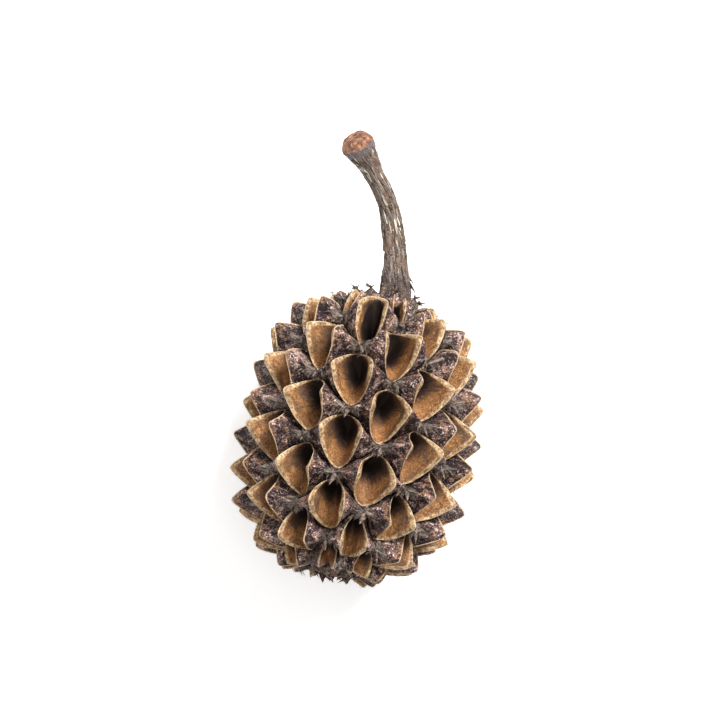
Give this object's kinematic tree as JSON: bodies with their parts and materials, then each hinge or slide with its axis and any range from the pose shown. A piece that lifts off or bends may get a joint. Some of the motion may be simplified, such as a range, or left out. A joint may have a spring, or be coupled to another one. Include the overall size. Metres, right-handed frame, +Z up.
{
  "type": "casuarina cone",
  "caption": "Barrel-shaped woody casuarina cone lying on its side, with gaping two-valved seed cups in alternating whorls and a bent bark-covered stalk.",
  "frame": {"origin": "on the surface that the cone lies on, under the middle of its box", "axes": "+Z up from the surface, +Y along the head towards its stalk, +X to the right as the cone is seen from above with its stalk pointing away"},
  "size_m": [0.0178, 0.0334, 0.0174],
  "materials": {
    "head_wood": "dry weathered wood, dark scaly valve backs, pale valve edges and golden-brown cups",
    "stalk_bark": "grey-brown flaking bark"
  },
  "bodies": {
    "root": {"cone_head": "head_wood", "stalk": "stalk_bark"}
  },
  "joints": []
}
